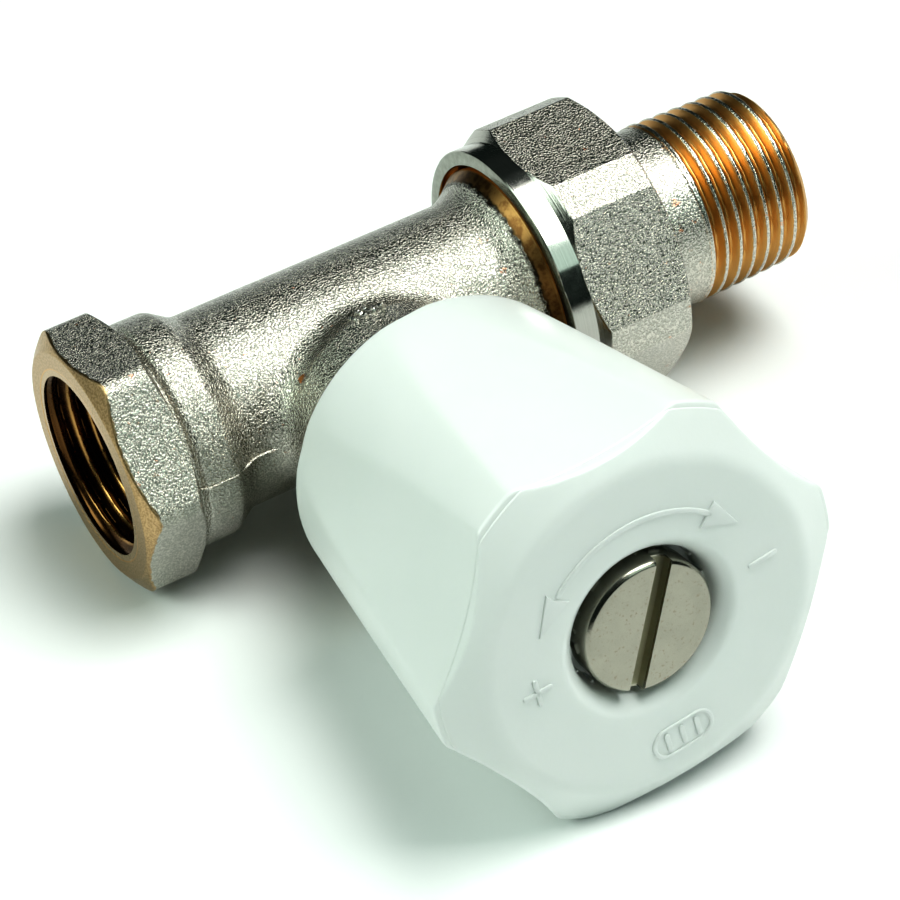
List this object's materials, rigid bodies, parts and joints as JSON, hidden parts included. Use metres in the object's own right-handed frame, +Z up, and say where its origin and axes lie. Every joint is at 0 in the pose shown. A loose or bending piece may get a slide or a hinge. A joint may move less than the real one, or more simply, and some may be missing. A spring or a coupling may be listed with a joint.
{
  "type": "radiator valve",
  "caption": "Straight manual radiator valve with a hexagon-ended forged body, a captive union nut and threaded tail, and a six-sided white handwheel.",
  "frame": {"origin": "centre of the inlet port's mouth, on the pipe axis", "axes": "+X along the pipe axis towards the radiator tail, -Y along the spindle towards the handwheel, +Z up as the valve lies on a bench"},
  "size_m": [0.0838, 0.0785, 0.0418],
  "materials": {
    "nickel_blasted": "nickel plated, shot blasted, raw brass where machined after plating",
    "brass_turned": "turned brass",
    "nickel_polished": "nickel plated, smooth",
    "steel_plated": "zinc plated",
    "rubber_seal": "moulded rubber",
    "ptfe": "smooth, waxy",
    "white_plastic": "moulded, semi-gloss"
  },
  "bodies": {
    "valve": {"valve_body": "nickel_blasted", "bonnet": "brass_turned", "bonnet_o_ring": "rubber_seal", "gland_nut": "brass_turned", "gland_follower": "brass_turned", "packing_ring": "ptfe"},
    "disc": {"disc_holder": "brass_turned", "disc_seal": "rubber_seal", "disc_washer": "steel_plated", "disc_screw": "steel_plated"},
    "wheel": {"spindle": "brass_turned", "spindle_o_ring_lower": "rubber_seal", "spindle_o_ring_upper": "rubber_seal", "handwheel": "white_plastic", "handwheel_washer": "steel_plated", "handwheel_screw": "nickel_polished"},
    "tail": {"tailpiece": "nickel_blasted", "tailpiece_o_ring": "rubber_seal"},
    "nut": {"union_nut": "nickel_blasted"}
  },
  "joints": [
    {"name": "disc_lift", "type": "slide", "parent": "valve", "child": "disc", "axis": [0, -1, 0], "range_m": [0, 0.00375]},
    {"name": "handwheel_turn", "type": "hinge", "parent": "disc", "child": "wheel", "pos_m": [0.0298, 0, 0], "axis": [0, -1, 0], "range_deg": [0, 1080]},
    {"name": "union_travel", "type": "slide", "parent": "valve", "child": "tail", "axis": [1, 0, 0], "range_m": [0, 0.00907]},
    {"name": "union_nut_turn", "type": "hinge", "parent": "tail", "child": "nut", "pos_m": [0.0574, 0, 0], "axis": [1, 0, 0], "range_deg": [0, 1800]}
  ],
  "couplings": [
    {"joint": "disc_lift", "follows": "handwheel_turn", "m_per_rad": 0.00019894},
    {"joint": "union_travel", "follows": "union_nut_turn", "m_per_rad": 0.00028871}
  ]
}
